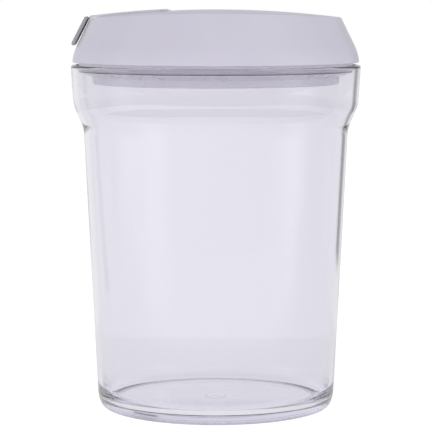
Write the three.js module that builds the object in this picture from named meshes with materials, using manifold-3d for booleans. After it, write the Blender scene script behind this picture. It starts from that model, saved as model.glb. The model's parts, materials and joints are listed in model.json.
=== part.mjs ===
// A round cereal canister: a clear tapered container with a push-in lid. The lid has a pour port that a
// hinged flap closes, and the flap opens by a grey pull tab that hangs over the lid's side.
// Millimetres, +Z up. The origin is on the axis, where the container stands, and the tab is on -X.
import * as THREE from "three";
import { mergeVertices } from "three/addons/utils/BufferGeometryUtils.js";
import Module from "manifold-3d";

const wasm = await Module();
wasm.setup();

// How finely round shapes are cut
const TURN_STEPS = 64;
const SMALL_TURN_STEPS = 24;
const CURVE_STEPS = 4;
const CORNER_STEPS = 6;

// Container, in the part's frame
const FOOT_OUTER_R = 55.2;
const FOOT_INNER_R = 51.4;
const FOOT_SLOPE = 1.6;
const BASE_RECESS = 1.4;
const GATE_NUB_R = 4.8;
const GATE_NUB_HEIGHT = 0.7;
const CORNER_R = 59.5;
const CORNER_Z = 8;
const BODY_TOP_R = 65.9;
const SHOULDER_Z = 137.4;
const COLLAR_R = 71.1;
const COLLAR_Z = 154;
const RIM_R = 72.2;
const RIM_Z = 171.6;
const WALL = 2.4;
const FLOOR_Z = 4.6;
const FLOOR_R = 50;
const FLOOR_CROWN = 0.5;
const INNER_CORNER_Z = 12;

// Lid. Its own frame has z = 0 at the lower edge of the cap.
const LID_Z = 172.9;
const CAP_EDGE_R = 71.3;
const CAP_BAND_Z = 1.3;
const CONE_LOW = { r: 69.0, z: 8.6 };
const CONE_TOP = { r: 62.4, z: 22.0 };
const CAP_SKIN = 2.2;
const DOME_Z = 26.1;
const DOME_BEND_X = 0.001;
const DOME_BEND_Y = 0.00033;
const SNAP_R = 68.4;
const SNAP_Z = 5.0;
const ABOVE_LID = 45;

// Liner: the plug under the cap, with a ledge that carries the seal, and the pour port
const PLUG_R = 61.5;
const PLUG_BOTTOM_Z = -10.6;
const PLUG_WALL = 2.0;
const PLUG_FLOOR = 2.0;
const PLUG_EDGE_ROUND = 1.0;
const LEDGE_R = 68.3;
const LEDGE_FOOT_Z = -6.9;
const LEDGE_EDGE_Z = -4.7;
const GROOVE_R = 60.0;
const GROOVE_BOTTOM_Z = -4.3;
const FLANGE_BOTTOM_Z = -1.7;
const FLANGE_TOP_Z = 0.1;
const UPSTAND_WALL = 1.8;
const UPSTAND_TOP_Z = 4.6;
const FIT_GAP = 0.3;

// Rim seal: a flat ring on the ledge, with a lip that reaches for the container's wall
const SEAL_BODY_R = 67.7;
const SEAL_LIP_R = 69.35;
const SEAL_TOP_Z = -2.0;
const SEAL_LIP_RISE = 0.7;
const SEAL_LIP_CHAMFER = 0.9;

// Pour port and flap. The seat is a flat ledge sunk in the dome, and follows the dome's slope there.
const SEAT_X = -43;
const SEAT_SUNK = 1.6;
const SEAT_SKIN = 2.2;
const PORT_LENGTH = 22;
const PORT_WIDTH = 38;
const PORT_CORNER_R = 8;
const CHIMNEY_WALL = 1.8;
const CHIMNEY_RIM_DROP = 1.8;
const FLAP_HALF_WIDTH = 25;
const FLAP_FRONT = -19.6;
const FLAP_CORNER_R = 14;
const FLAP_GAP = 0.4;
const FLAP_PROUD = 0.9;

// Hinge of the flap, along Y
const HINGE_X = -24;
const HINGE_Z = 23.45;
const KNUCKLE_R = 2.6;
const KNUCKLE_HALF_LENGTH = 19;
const POCKET_R = 3.2;
const POCKET_HALF_LENGTH = 24.9;
const POCKET_REAR_X = -20.1;
const POCKET_SKIN = 1.8;
const LUG_START_Y = 19.5;
const LUG_TOP_DROP = 0.15;
const PIN_R = 1.0;
const PIN_HALF_LENGTH = 24;
const BORE_R = 1.3;

// Flap plug and flap seal, as steps in from the port's wall
const FLAP_PLUG_INSET = 1.0;
const FLAP_PLUG_DEPTH = 4.5;
const FLAP_PLUG_NECK_INSET = 1.8;
const FLAP_PLUG_WALL = 0.8;
const FLAP_PLUG_FLOOR = 1.4;
const FLAP_SEAL_INSET = 1.5;
const FLAP_SEAL_REACH = 1.7;
const FLAP_SEAL_BOTTOM = -1.5;
const FLAP_SEAL_TOP = -0.1;

// Pull tab: a leaf down the lid's side, and a thin dovetail tongue under the flap's front edge
const TAB_THICKNESS = 1.8;
const TAB_HALF_WIDTH = 9;
const TAB_TOP = { x: -64.7, z: 22.85 };
const TAB_TIP = { x: -71.9, z: 8.9 };
const TAB_FOOT_R = 4;
const TAB_TOP_R = 1;
const TONGUE_THICKNESS = 0.8;
const TONGUE_INNER_X = -57.4;
const TONGUE_NECK_X = -61.8;
const TONGUE_INNER_HALF = 7.4;
const TONGUE_NECK_HALF = 5.8;
const TONGUE_INTO_LEAF = 2;

const CLEAR_PLASTIC = { color: 0xe1dfea, roughness: 0.06, transparent: true, opacity: 0.35 };
const LID_PLASTIC = { color: 0xcdcad8, roughness: 0.36 };
const LINER_PLASTIC = { color: 0xe9e5f3, roughness: 0.3 };
const SEAL_SILICONE = { color: 0xc0baca, roughness: 0.55 };
const TAB_PLASTIC = { color: 0x9c9aa0, roughness: 0.5 };
const PIN_STEEL = { color: 0xc4c4c8, roughness: 0.25, metalness: 1 };

// ---- geometry helpers ----

function namedMesh(name, geometry, look) {
  const material = new THREE.MeshStandardMaterial({ metalness: 0, ...look });
  const mesh = new THREE.Mesh(geometry, material);
  mesh.name = name;
  return mesh;
}

function point(r, z) {
  return new THREE.Vector2(r, z);
}

function revolve(profile, steps = TURN_STEPS) {
  return new THREE.LatheGeometry(profile, steps).rotateX(Math.PI / 2);
}

// A bar of round section along Y, centred on y = 0 unless it is moved.
function barAlongY(radius, length, x, z, y = 0) {
  return new THREE.CylinderGeometry(radius, radius, length, SMALL_TURN_STEPS).translate(x, y, z);
}

// A block between two corners.
function block(low, high) {
  const size = high.map((value, axis) => value - low[axis]);
  const centre = high.map((value, axis) => (value + low[axis]) / 2);
  return new THREE.BoxGeometry(...size).translate(...centre);
}

function extrude(shape, fromZ, toZ) {
  const options = { depth: toZ - fromZ, bevelEnabled: false, curveSegments: CORNER_STEPS };
  return new THREE.ExtrudeGeometry(shape, options).translate(0, 0, fromZ);
}

function solidOf(geometry) {
  const bare = geometry.clone();
  bare.deleteAttribute("normal");
  bare.deleteAttribute("uv");
  const merged = mergeVertices(bare, 1e-4);
  const vertProperties = merged.attributes.position.array;
  const triVerts = new Uint32Array(merged.index.array);
  return new wasm.Manifold(new wasm.Mesh({ numProp: 3, vertProperties, triVerts }));
}

function geometryOf(solid) {
  const { vertProperties, triVerts } = solid.getMesh();
  const geometry = new THREE.BufferGeometry();
  geometry.setAttribute("position", new THREE.BufferAttribute(vertProperties, 3));
  geometry.setIndex(new THREE.BufferAttribute(triVerts, 1));
  geometry.computeVertexNormals();
  return geometry;
}

// ---- surfaces that several pieces share ----

// Height of the lid's crowned top, in the lid's frame.
function domeHeight(x, y) {
  return DOME_Z - DOME_BEND_X * x * x - DOME_BEND_Y * y * y;
}

// Everything above the crowned top, moved up by `offset`.
function aboveDome(offset) {
  const sky = new THREE.BoxGeometry(160, 160, 2, 20, 10, 1);
  const corners = sky.attributes.position;
  for (let i = 0; i < corners.count; i += 1) {
    const onLowerFace = corners.getZ(i) < 0;
    corners.setZ(i, onLowerFace ? domeHeight(corners.getX(i), corners.getY(i)) + offset : ABOVE_LID);
  }
  return solidOf(sky);
}

// The cap's outer form before its top is cut: band, bend and cone, run on upwards past the dome.
function capOutline() {
  const coneRun = (CONE_LOW.r - CONE_TOP.r) / (CONE_TOP.z - CONE_LOW.z);
  const overrun = 6;
  const side = new THREE.Path();
  side.moveTo(CAP_EDGE_R, 0);
  side.lineTo(CAP_EDGE_R, CAP_BAND_Z);
  side.quadraticCurveTo(CONE_LOW.r + coneRun * 3.4, CONE_LOW.z - 3.4, CONE_LOW.r, CONE_LOW.z);
  side.lineTo(CONE_TOP.r - coneRun * overrun, CONE_TOP.z + overrun);
  return side.getPoints(CURVE_STEPS);
}

function capForm() {
  const side = capOutline();
  const top = side[side.length - 1];
  return solidOf(revolve([point(0, 0), ...side, point(0, top.y)]));
}

// The frame of the flap's seat: origin on the seat's plane, x up the slope towards the hinge.
const seatTilt = -Math.atan(2 * DOME_BEND_X * Math.abs(SEAT_X));
const seatZ = domeHeight(SEAT_X, 0) - SEAT_SUNK;
const seatFrame = new THREE.Matrix4()
  .makeRotationY(seatTilt)
  .setPosition(SEAT_X, 0, seatZ);

function roundedRectangle(left, right, halfWidth, leftRadius, rightRadius) {
  const shape = new THREE.Shape();
  shape.moveTo(left + leftRadius, -halfWidth);
  shape.lineTo(right - rightRadius, -halfWidth);
  shape.absarc(right - rightRadius, rightRadius - halfWidth, rightRadius, -Math.PI / 2, 0);
  shape.lineTo(right, halfWidth - rightRadius);
  shape.absarc(right - rightRadius, halfWidth - rightRadius, rightRadius, 0, Math.PI / 2);
  shape.lineTo(left + leftRadius, halfWidth);
  shape.absarc(left + leftRadius, halfWidth - leftRadius, leftRadius, Math.PI / 2, Math.PI);
  shape.lineTo(left, leftRadius - halfWidth);
  shape.absarc(left + leftRadius, leftRadius - halfWidth, leftRadius, Math.PI, Math.PI * 1.5);
  return shape;
}

// The port's outline in the seat's frame, grown by `grow`.
function portOutline(grow) {
  const halfLength = PORT_LENGTH / 2 + grow;
  const corner = PORT_CORNER_R + grow;
  return roundedRectangle(-halfLength, halfLength, PORT_WIDTH / 2 + grow, corner, corner);
}

// A prism on the port's outline, in the lid's frame.
function portPrism(grow, fromZ, toZ) {
  return solidOf(extrude(portOutline(grow), fromZ, toZ).applyMatrix4(seatFrame));
}

// A prism on the flap's outline, from its front corners to the hinge's axis, in the lid's frame.
function flapPrism(grow, fromZ, toZ) {
  const hingeEnd = (HINGE_X - SEAT_X) / Math.cos(seatTilt);
  const sharp = 0.01;
  const front = FLAP_FRONT - grow;
  const outline = roundedRectangle(front, hingeEnd, FLAP_HALF_WIDTH + grow, FLAP_CORNER_R + grow, sharp);
  return solidOf(extrude(outline, fromZ, toZ).applyMatrix4(seatFrame));
}

// ---- container ----

// The side wall from the base corner up to the rim, moved in by `inset`.
function sideOutline(inset, cornerR, cornerZ) {
  const side = new THREE.Path();
  side.moveTo(cornerR - inset, cornerZ);
  side.lineTo(BODY_TOP_R - inset, SHOULDER_Z);
  side.quadraticCurveTo(BODY_TOP_R + 0.2 - inset, SHOULDER_Z + 3, BODY_TOP_R + 1.4 - inset, SHOULDER_Z + 5.6);
  side.lineTo(COLLAR_R - 1.3 - inset, COLLAR_Z - 5.2);
  side.quadraticCurveTo(COLLAR_R - 0.2 - inset, COLLAR_Z - 2.6, COLLAR_R - inset, COLLAR_Z);
  side.lineTo(RIM_R - inset, RIM_Z - WALL / 2);
  return side.getPoints(CURVE_STEPS);
}

function containerOutline() {
  const foot = new THREE.Path();
  foot.moveTo(0, BASE_RECESS - GATE_NUB_HEIGHT);
  foot.lineTo(GATE_NUB_R, BASE_RECESS - GATE_NUB_HEIGHT);
  foot.lineTo(GATE_NUB_R + 0.5, BASE_RECESS);
  foot.lineTo(FOOT_INNER_R - FOOT_SLOPE, BASE_RECESS);
  foot.lineTo(FOOT_INNER_R, 0);
  foot.lineTo(FOOT_OUTER_R, 0);
  foot.quadraticCurveTo(CORNER_R - 0.6, 0.5, CORNER_R, CORNER_Z);
  const rim = new THREE.Path();
  rim.absarc(RIM_R - WALL / 2, RIM_Z - WALL / 2, WALL / 2, 0, Math.PI);
  const wallRun = (BODY_TOP_R - CORNER_R) / (SHOULDER_Z - CORNER_Z);
  const innerCornerR = CORNER_R + wallRun * (INNER_CORNER_Z - CORNER_Z);
  const inside = sideOutline(WALL, innerCornerR, INNER_CORNER_Z).reverse();
  const floor = new THREE.Path();
  floor.moveTo(innerCornerR - WALL, INNER_CORNER_Z);
  floor.quadraticCurveTo(innerCornerR - WALL - 0.8, FLOOR_Z, FLOOR_R, FLOOR_Z);
  floor.lineTo(0, FLOOR_Z + FLOOR_CROWN);
  return [
    ...foot.getPoints(CURVE_STEPS),
    ...sideOutline(0, CORNER_R, CORNER_Z).slice(1),
    ...rim.getPoints(CURVE_STEPS / 2).slice(1),
    ...inside.slice(1),
    ...floor.getPoints(CURVE_STEPS).slice(1),
  ];
}

function container() {
  return namedMesh("container", revolve(containerOutline()), CLEAR_PLASTIC);
}

// ---- lid ----

// The hollow inside the cap: a straight fit for the liner, then the cone and dome less their skin.
function capHollow() {
  const skinAcross = CAP_SKIN * Math.hypot(1, (CONE_LOW.r - CONE_TOP.r) / (CONE_TOP.z - CONE_LOW.z));
  const hollow = revolve([
    point(0, -1),
    point(SNAP_R, -1),
    point(SNAP_R, SNAP_Z),
    point(CONE_LOW.r - skinAcross, CONE_LOW.z),
    point(CONE_TOP.r - skinAcross, CONE_TOP.z),
    point(CONE_TOP.r - skinAcross, ABOVE_LID - 1),
    point(0, ABOVE_LID - 1),
  ]);
  return solidOf(hollow)
    .subtract(aboveDome(-CAP_SKIN))
    .subtract(flapPrism(SEAT_SKIN, -SEAT_SKIN, 2 * SEAT_SUNK))
    .subtract(pocketForm(POCKET_SKIN));
}

// The trough that the flap's knuckle turns in, grown by `grow` on its sides and bottom.
function pocketForm(grow) {
  const length = 2 * (POCKET_HALF_LENGTH + grow);
  const radius = POCKET_R + grow;
  const trough = solidOf(barAlongY(radius, length, HINGE_X, HINGE_Z));
  const shaft = solidOf(
    block([HINGE_X - radius, -length / 2, HINGE_Z], [POCKET_REAR_X + grow, length / 2, ABOVE_LID - 2]),
  );
  return trough.add(shaft);
}

// The ear at one end of the hinge, where `side` is 1 or -1. It holds that end of the pin, and its top
// follows the dome just below it.
function hingeLug(side) {
  const inner = side * LUG_START_Y;
  const outer = side * (POCKET_HALF_LENGTH + 0.5);
  const [lowY, highY] = [Math.min(inner, outer), Math.max(inner, outer)];
  const ear = solidOf(barAlongY(KNUCKLE_R, highY - lowY, HINGE_X, HINGE_Z, (lowY + highY) / 2));
  const stem = solidOf(
    block([HINGE_X - KNUCKLE_R, lowY, HINGE_Z - POCKET_R - 1], [HINGE_X + KNUCKLE_R, highY, HINGE_Z]),
  );
  return ear.add(stem).subtract(aboveDome(-LUG_TOP_DROP));
}

// The pin's hole runs out into the cap's hollow at its +Y end, where the pin is pushed in.
function pinBore() {
  const closedEnd = -(PIN_HALF_LENGTH + FIT_GAP);
  const openEnd = POCKET_HALF_LENGTH + POCKET_SKIN + 2;
  const length = openEnd - closedEnd;
  return solidOf(barAlongY(BORE_R, length, HINGE_X, HINGE_Z, (openEnd + closedEnd) / 2));
}

function lidShell() {
  const shell = capForm()
    .subtract(aboveDome(0))
    .subtract(capHollow())
    .subtract(flapPrism(FLAP_GAP, 0, 2 * SEAT_SUNK))
    .subtract(portPrism(CHIMNEY_WALL + FIT_GAP, -2 * SEAT_SKIN, 2 * SEAT_SUNK))
    .subtract(pocketForm(0))
    .add(hingeLug(1))
    .add(hingeLug(-1))
    .subtract(pinBore());
  return namedMesh("lid_shell", geometryOf(shell), LID_PLASTIC);
}

function linerOutline() {
  const plugEdge = new THREE.Path();
  plugEdge.moveTo(PLUG_R - PLUG_EDGE_ROUND, PLUG_BOTTOM_Z);
  plugEdge.absarc(
    PLUG_R - PLUG_EDGE_ROUND,
    PLUG_BOTTOM_Z + PLUG_EDGE_ROUND,
    PLUG_EDGE_ROUND,
    -Math.PI / 2,
    0,
  );
  const upstandR = SNAP_R - FIT_GAP;
  return [
    point(0, PLUG_BOTTOM_Z),
    ...plugEdge.getPoints(CURVE_STEPS / 2),
    point(PLUG_R, LEDGE_FOOT_Z),
    point(LEDGE_R, LEDGE_EDGE_Z),
    point(LEDGE_R, GROOVE_BOTTOM_Z),
    point(GROOVE_R, GROOVE_BOTTOM_Z),
    point(GROOVE_R, FLANGE_BOTTOM_Z),
    point(upstandR, FLANGE_BOTTOM_Z),
    point(upstandR, UPSTAND_TOP_Z),
    point(upstandR - UPSTAND_WALL, UPSTAND_TOP_Z),
    point(upstandR - UPSTAND_WALL, FLANGE_TOP_Z),
    point(GROOVE_R - PLUG_WALL, FLANGE_TOP_Z),
    point(GROOVE_R - PLUG_WALL, PLUG_BOTTOM_Z + PLUG_FLOOR),
    point(0, PLUG_BOTTOM_Z + PLUG_FLOOR),
  ];
}

function lidLiner() {
  const farBelow = -50;
  const floorMiddleZ = PLUG_BOTTOM_Z + PLUG_FLOOR / 2;
  const underFloor = block([-80, -80, 2 * farBelow], [80, 80, floorMiddleZ]);
  const chimney = portPrism(CHIMNEY_WALL, farBelow, -CHIMNEY_RIM_DROP).subtract(solidOf(underFloor));
  const liner = solidOf(revolve(linerOutline()))
    .add(chimney)
    .subtract(portPrism(0, farBelow, 1));
  return namedMesh("lid_liner", geometryOf(liner), LINER_PLASTIC);
}

function rimSeal() {
  const innerR = GROOVE_R + FIT_GAP;
  const bottomZ = GROOVE_BOTTOM_Z + FIT_GAP;
  const outline = [
    point(innerR, bottomZ),
    point(SEAL_BODY_R, bottomZ),
    point(SEAL_LIP_R, bottomZ + SEAL_LIP_RISE),
    point(SEAL_LIP_R - SEAL_LIP_CHAMFER / 4, SEAL_TOP_Z - SEAL_LIP_CHAMFER / 3),
    point(SEAL_LIP_R - SEAL_LIP_CHAMFER, SEAL_TOP_Z),
    point(innerR, SEAL_TOP_Z),
  ];
  return namedMesh("rim_seal", revolve([...outline, outline[0].clone()]), SEAL_SILICONE);
}

function hingePin() {
  const bar = new THREE.CylinderGeometry(PIN_R, PIN_R, 2 * PIN_HALF_LENGTH, SMALL_TURN_STEPS);
  const pin = namedMesh("hinge_pin", bar, PIN_STEEL);
  pin.position.set(HINGE_X, 0, HINGE_Z);
  return pin;
}

// ---- flap ----

// The tab's tongue, a slab over the seat's plane. `gap` grows it into the notch that holds it, which is
// open below.
function tongueForm(gap) {
  const shape = new THREE.Shape();
  const run = (TONGUE_INNER_HALF - TONGUE_NECK_HALF) / (TONGUE_INNER_X - TONGUE_NECK_X);
  const outerX = TONGUE_NECK_X - TONGUE_INTO_LEAF;
  const outerHalf = TONGUE_NECK_HALF - TONGUE_INTO_LEAF * run + gap;
  shape.moveTo(TONGUE_INNER_X + gap, -TONGUE_INNER_HALF - gap);
  shape.lineTo(TONGUE_INNER_X + gap, TONGUE_INNER_HALF + gap);
  shape.lineTo(outerX, outerHalf);
  shape.lineTo(outerX, -outerHalf);
  const prism = solidOf(extrude(shape, CONE_LOW.z, ABOVE_LID - 2));
  const low = [-2 * COLLAR_R, -COLLAR_R, FIT_GAP - 2 * gap];
  const high = [COLLAR_R, COLLAR_R, FIT_GAP + TONGUE_THICKNESS + gap];
  return prism.intersect(solidOf(block(low, high).applyMatrix4(seatFrame)));
}

// The plate's rear corners are cut back so that they swing past the lid's lugs.
function rearCornerCut(side) {
  const inner = side * KNUCKLE_HALF_LENGTH;
  const outer = side * (FLAP_HALF_WIDTH + 2);
  const low = [HINGE_X - POCKET_R, Math.min(inner, outer), 0];
  const high = [HINGE_X + POCKET_R, Math.max(inner, outer), ABOVE_LID];
  return solidOf(block(low, high));
}

function pourFlap() {
  const bore = solidOf(barAlongY(BORE_R, 3 * KNUCKLE_HALF_LENGTH, HINGE_X, HINGE_Z));
  const flap = flapPrism(0, FIT_GAP, 4 * SEAT_SUNK)
    .subtract(aboveDome(FLAP_PROUD))
    .intersect(capForm())
    .add(solidOf(barAlongY(KNUCKLE_R, 2 * KNUCKLE_HALF_LENGTH, HINGE_X, HINGE_Z)))
    .subtract(rearCornerCut(1))
    .subtract(rearCornerCut(-1))
    .subtract(bore)
    .subtract(tongueForm(FIT_GAP));
  const geometry = geometryOf(flap).translate(-HINGE_X, 0, -HINGE_Z);
  return namedMesh("pour_flap", geometry, LID_PLASTIC);
}

// The cup under the flap that goes into the port, with a neck that the flap seal is stretched round.
function flapPlug() {
  const body = solidOf(extrude(portOutline(-FLAP_PLUG_INSET), -FLAP_PLUG_DEPTH, -CHIMNEY_RIM_DROP));
  const neck = solidOf(extrude(portOutline(-FLAP_PLUG_NECK_INSET), -CHIMNEY_RIM_DROP - 0.1, 0));
  const hollowFloor = -FLAP_PLUG_DEPTH + FLAP_PLUG_FLOOR;
  const hollow = solidOf(extrude(portOutline(-FLAP_PLUG_NECK_INSET - FLAP_PLUG_WALL), hollowFloor, 1));
  return namedMesh("flap_plug", geometryOf(body.add(neck).subtract(hollow)), LINER_PLASTIC);
}

function flapSeal() {
  const ring = portOutline(FLAP_SEAL_REACH);
  ring.holes.push(portOutline(-FLAP_SEAL_INSET));
  return namedMesh("flap_seal", extrude(ring, FLAP_SEAL_BOTTOM, FLAP_SEAL_TOP), SEAL_SILICONE);
}

// The leaf from the side: a straight strip with a rounded top corner and a round end.
function leafOutline() {
  const top = point(TAB_TOP.x, TAB_TOP.z);
  const tip = point(TAB_TIP.x, TAB_TIP.z);
  const down = tip.clone().sub(top).normalize();
  const inwards = point(-down.y, down.x);
  const innerTop = top.clone().addScaledVector(inwards, TAB_THICKNESS);
  const endCentre = tip
    .clone()
    .addScaledVector(down, -TAB_THICKNESS / 2)
    .addScaledVector(inwards, TAB_THICKNESS / 2);
  const endAngle = Math.atan2(-inwards.y, -inwards.x);
  const cornerStart = top.clone().addScaledVector(inwards, TAB_TOP_R);
  const cornerFinish = top.clone().addScaledVector(down, TAB_TOP_R);
  const shape = new THREE.Shape();
  shape.moveTo(innerTop.x, innerTop.y);
  shape.lineTo(cornerStart.x, cornerStart.y);
  shape.quadraticCurveTo(top.x, top.y, cornerFinish.x, cornerFinish.y);
  shape.absarc(endCentre.x, endCentre.y, TAB_THICKNESS / 2, endAngle, endAngle + Math.PI);
  return shape;
}

// A block on -X with the outline that the leaf has when seen along X, which gives it its foot corners.
function leafMask() {
  const face = roundedRectangle(TAB_TIP.z - FIT_GAP, ABOVE_LID, TAB_HALF_WIDTH, TAB_FOOT_R, 1);
  return solidOf(extrude(face, 0, 2 * COLLAR_R).rotateY(-Math.PI / 2));
}

function pullTab() {
  const width = 2 * TAB_HALF_WIDTH + 2;
  const strip = extrude(leafOutline(), -width / 2, width / 2).rotateX(Math.PI / 2);
  const tab = solidOf(strip).intersect(leafMask()).add(tongueForm(0));
  return namedMesh("pull_tab", geometryOf(tab).translate(-HINGE_X, 0, -HINGE_Z), TAB_PLASTIC);
}

// ---- assembly ----

function flapAssembly() {
  const seated = new THREE.Group();
  seated.position.set(SEAT_X - HINGE_X, 0, seatZ - HINGE_Z);
  seated.rotation.y = seatTilt;
  seated.add(flapPlug(), flapSeal());
  const flap = new THREE.Group();
  flap.position.set(HINGE_X, 0, HINGE_Z);
  flap.add(pourFlap(), pullTab(), seated);
  return flap;
}

function lidAssembly() {
  const lid = new THREE.Group();
  lid.position.z = LID_Z;
  lid.add(lidShell(), lidLiner(), rimSeal(), hingePin(), flapAssembly());
  return lid;
}

const canister = new THREE.Group();
canister.name = "cereal_canister";
canister.add(container(), lidAssembly());

export default canister;
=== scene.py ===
"""The looks of a round cereal canister: a clear tapered container under a push-in lid with a pour flap.

Metres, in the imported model's frame: +Z up, the canister stands on z = 0 and the pull tab is on -X.
"""
import json
import math

import bmesh
import bpy
from mathutils import Matrix, Vector


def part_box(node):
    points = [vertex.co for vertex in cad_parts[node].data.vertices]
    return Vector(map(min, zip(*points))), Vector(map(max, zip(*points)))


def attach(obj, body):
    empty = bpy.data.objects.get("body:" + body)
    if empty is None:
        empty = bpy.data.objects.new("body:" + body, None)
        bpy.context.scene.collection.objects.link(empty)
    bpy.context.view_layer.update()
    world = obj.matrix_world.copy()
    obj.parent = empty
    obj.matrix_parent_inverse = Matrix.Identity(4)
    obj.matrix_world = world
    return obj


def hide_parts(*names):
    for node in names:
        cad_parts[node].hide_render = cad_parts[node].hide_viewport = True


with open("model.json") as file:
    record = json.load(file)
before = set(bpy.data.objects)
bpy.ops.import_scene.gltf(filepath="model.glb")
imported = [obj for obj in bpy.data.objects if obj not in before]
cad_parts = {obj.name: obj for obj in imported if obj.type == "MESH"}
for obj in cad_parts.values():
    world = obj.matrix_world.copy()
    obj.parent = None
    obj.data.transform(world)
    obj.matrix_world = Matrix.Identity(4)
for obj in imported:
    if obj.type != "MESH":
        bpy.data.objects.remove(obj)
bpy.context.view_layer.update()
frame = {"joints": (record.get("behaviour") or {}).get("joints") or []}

MM = 0.001

# How finely round shapes are cut
TURN_STEPS = 240
CORNER_STEPS = 5
PLAN_STEP = 2.0 * MM
SUPPORT = 0.3 * MM
SHARP_ANGLE = math.radians(38)

# How far cutters reach past the surface they cut, and how much smaller one is than another that it meets
CUT_PAST = 4.0 * MM
CUT_SHRINK = 0.03 * MM

# Container: the box gives its rim, and the rest follows the CAD part
RIM_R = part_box("container")[1].x
RIM_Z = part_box("container")[1].z
WALL = 2.4 * MM
FOOT_OUTER_R = 55.2 * MM
FOOT_INNER_R = 51.4 * MM
FOOT_SLOPE = 1.6 * MM
FOOT_SLOPE_ROUND = 2.6 * MM
BASE_RECESS = 1.4 * MM
GATE_NUB_R = 4.8 * MM
GATE_NUB_SLOPE = 0.5 * MM
GATE_NUB_HEIGHT = 0.7 * MM
GATE_NUB_ROUND = 0.3 * MM
CORNER_R = 59.5 * MM
CORNER_Z = 8.0 * MM
CORNER_BULGE = (-0.6 * MM, 0.5 * MM)
BODY_TOP_R = 65.9 * MM
SHOULDER_Z = 137.4 * MM
COLLAR_R = 71.1 * MM
COLLAR_Z = 154.0 * MM
FLOOR_R = 50.0 * MM
FLOOR_Z = 4.6 * MM
FLOOR_CROWN = 0.5 * MM
INNER_CORNER_Z = 12.0 * MM
INNER_CORNER_PULL = 0.8 * MM

# The wall's two curves as (r, z) steps in mm, from the shoulder's start and from the collar's end
SHOULDER_CURVE = ((0, 0), (0.2, 3.0), (1.4, 5.6))
COLLAR_CURVE = ((-1.3, -5.2), (-0.2, -2.6), (0, 0))

# Lid: heights above the cap's lower edge, which the box gives
LID_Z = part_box("lid_shell")[0].z
CAP_EDGE_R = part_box("lid_shell")[1].x
CAP_BAND = 1.3 * MM
CONE_LOW_R = 69.0 * MM
CONE_LOW_Z = LID_Z + 8.6 * MM
CONE_TOP_R = 62.4 * MM
CONE_TOP_Z = LID_Z + 22.0 * MM
CONE_RUN = (CONE_LOW_R - CONE_TOP_R) / (CONE_TOP_Z - CONE_LOW_Z)
CAP_SKIN = 2.2 * MM
CAP_EDGE_ROUND = 0.9 * MM
CAP_BOW = 3.4 * MM
DOME_Z = LID_Z + 26.1 * MM
DOME_BEND_X = 1.0
DOME_BEND_Y = 0.33
SNAP_R = 68.4 * MM
SNAP_Z = LID_Z + 5.0 * MM

# Liner and rim seal
PLUG_R = 61.5 * MM
PLUG_BOTTOM_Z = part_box("lid_liner")[0].z
PLUG_WALL = 2.0 * MM
PLUG_FLOOR = 2.0 * MM
LEDGE_R = 68.3 * MM
LEDGE_FOOT_Z = LID_Z - 6.9 * MM
LEDGE_EDGE_Z = LID_Z - 4.7 * MM
GROOVE_R = 60.0 * MM
GROOVE_BOTTOM_Z = LID_Z - 4.3 * MM
FLANGE_BOTTOM_Z = LID_Z - 1.7 * MM
FLANGE_TOP_Z = LID_Z + 0.1 * MM
UPSTAND_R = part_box("lid_liner")[1].x
UPSTAND_TOP_Z = LID_Z + 4.6 * MM
UPSTAND_WALL = 1.8 * MM
FIT_GAP = 0.3 * MM
SEAL_BODY_R = 67.7 * MM
SEAL_LIP_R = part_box("rim_seal")[1].x
SEAL_TOP_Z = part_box("rim_seal")[1].z

# Pour port, seat and flap
SEAT_X = -43.0 * MM
SEAT_SUNK = 1.6 * MM
SEAT_SKIN = 2.2 * MM
SEAT_FLOOR_ROUND = 0.25 * MM
SEAT_REAR_ROUND = 0.6 * MM
SEAT_FRONT_X = (-70.0 * MM, -60.0 * MM)
SEAT_FRONT_HALF_WIDTH = 12.0 * MM
SEAT_FRONT_ROUND = 1.0 * MM
TRAY_REAR_ROUND = 0.2 * MM
TRAY_SIDE_MARGIN = 1.0 * MM
OPENING_ROUND = 0.35 * MM
OPENING_LIP_TURN = math.radians(78)
INTO_DOME = 0.6 * MM
PORT_LENGTH = 22.0 * MM
PORT_WIDTH = 38.0 * MM
PORT_CORNER_R = 8.0 * MM
CHIMNEY_WALL = 1.8 * MM
CHIMNEY_DROP = 1.8 * MM
FLAP_HALF_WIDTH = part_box("pour_flap")[1].y
FLAP_FRONT_X = SEAT_X - 19.53 * MM
FLAP_CORNER_R = 14.0 * MM
FLAP_GAP = 0.4 * MM
FLAP_PROUD = 0.9 * MM
FLAP_EDGE_ROUND = 0.55 * MM
FLAP_UNDER_ROUND = 0.2 * MM
FLAP_REAR_ROUND = 3.0 * MM
FLAP_FLAT_INSET = 2.0 * MM
REAR_NOTCH_X = -27.2 * MM
REAR_NOTCH_ROUND = 0.4 * MM

# Hinge: the joint gives its axis
HINGE = Vector(next(j["pos_m"] for j in frame["joints"] if j["name"] == "flap_hinge"))
KNUCKLE_R = 2.6 * MM
KNUCKLE_HALF_LENGTH = 19.0 * MM
KNUCKLE_EDGE = 0.3 * MM
LUG_START_Y = 19.5 * MM
LUG_INTO_WALL = 0.5 * MM
LUG_INTO_FLOOR = 1.0 * MM
LUG_TOP_DROP = 0.15 * MM
POCKET_R = 3.2 * MM
POCKET_HALF_LENGTH = 24.9 * MM
POCKET_REAR_X = -20.1 * MM
POCKET_SKIN = 1.8 * MM
POCKET_CORNER_R = 0.5 * MM
POCKET_FLOOR_ROUND = 0.01 * MM
POCKET_MOUTH_Z = HINGE.z + 1.0 * MM
BORE_R = 1.3 * MM
PIN_R = (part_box("hinge_pin")[1].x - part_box("hinge_pin")[0].x) / 2
PIN_HALF_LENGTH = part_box("hinge_pin")[1].y
PIN_EDGE = 0.25 * MM

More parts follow.
